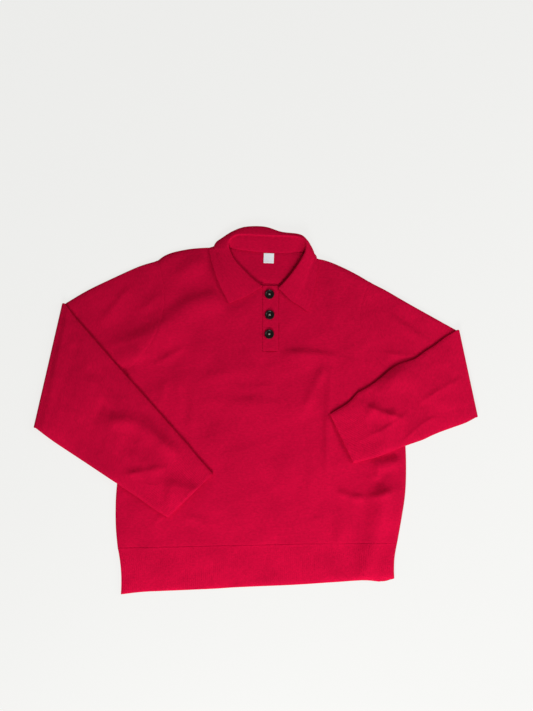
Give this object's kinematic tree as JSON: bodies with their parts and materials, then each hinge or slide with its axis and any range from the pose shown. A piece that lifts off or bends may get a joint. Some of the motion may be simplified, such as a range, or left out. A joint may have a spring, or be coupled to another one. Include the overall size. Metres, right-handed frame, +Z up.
{
  "type": "wool sweater",
  "caption": "Long-sleeved knitted wool polo sweater laid flat, sleeves folded at the elbow over the front, with a ribbed hem and cuffs, a turned-down collar and a buttoned placket.",
  "frame": {"origin": "centre of the garment's outline, on the flat surface that it lies on", "axes": "+X to the wearer's left (to the right when the front is looked at from above), +Y towards the neck, +Z up out of the surface"},
  "size_m": [0.8352, 0.6917, 0.0144],
  "materials": {
    "wool_plain": "plain-knitted wool, matt, with a soft nap",
    "wool_rib": "rib-knitted wool, matt, with a soft nap",
    "button_plastic": "dark brown polyester, polished",
    "button_thread": "sewing thread",
    "label_cloth": "white woven tape, blank"
  },
  "bodies": {
    "root": {"back_panel": "wool_plain", "front_panel": "wool_plain", "hem_rib_back": "wool_rib", "hem_rib_front": "wool_rib", "sleeve_right": "wool_plain", "sleeve_left": "wool_plain", "cuff_right": "wool_rib", "cuff_left": "wool_rib", "collar": "wool_rib", "placket_under": "wool_rib", "placket_over": "wool_rib", "button_top": "button_plastic", "button_middle": "button_plastic", "button_bottom": "button_plastic", "neck_label": "label_cloth"}
  },
  "joints": []
}
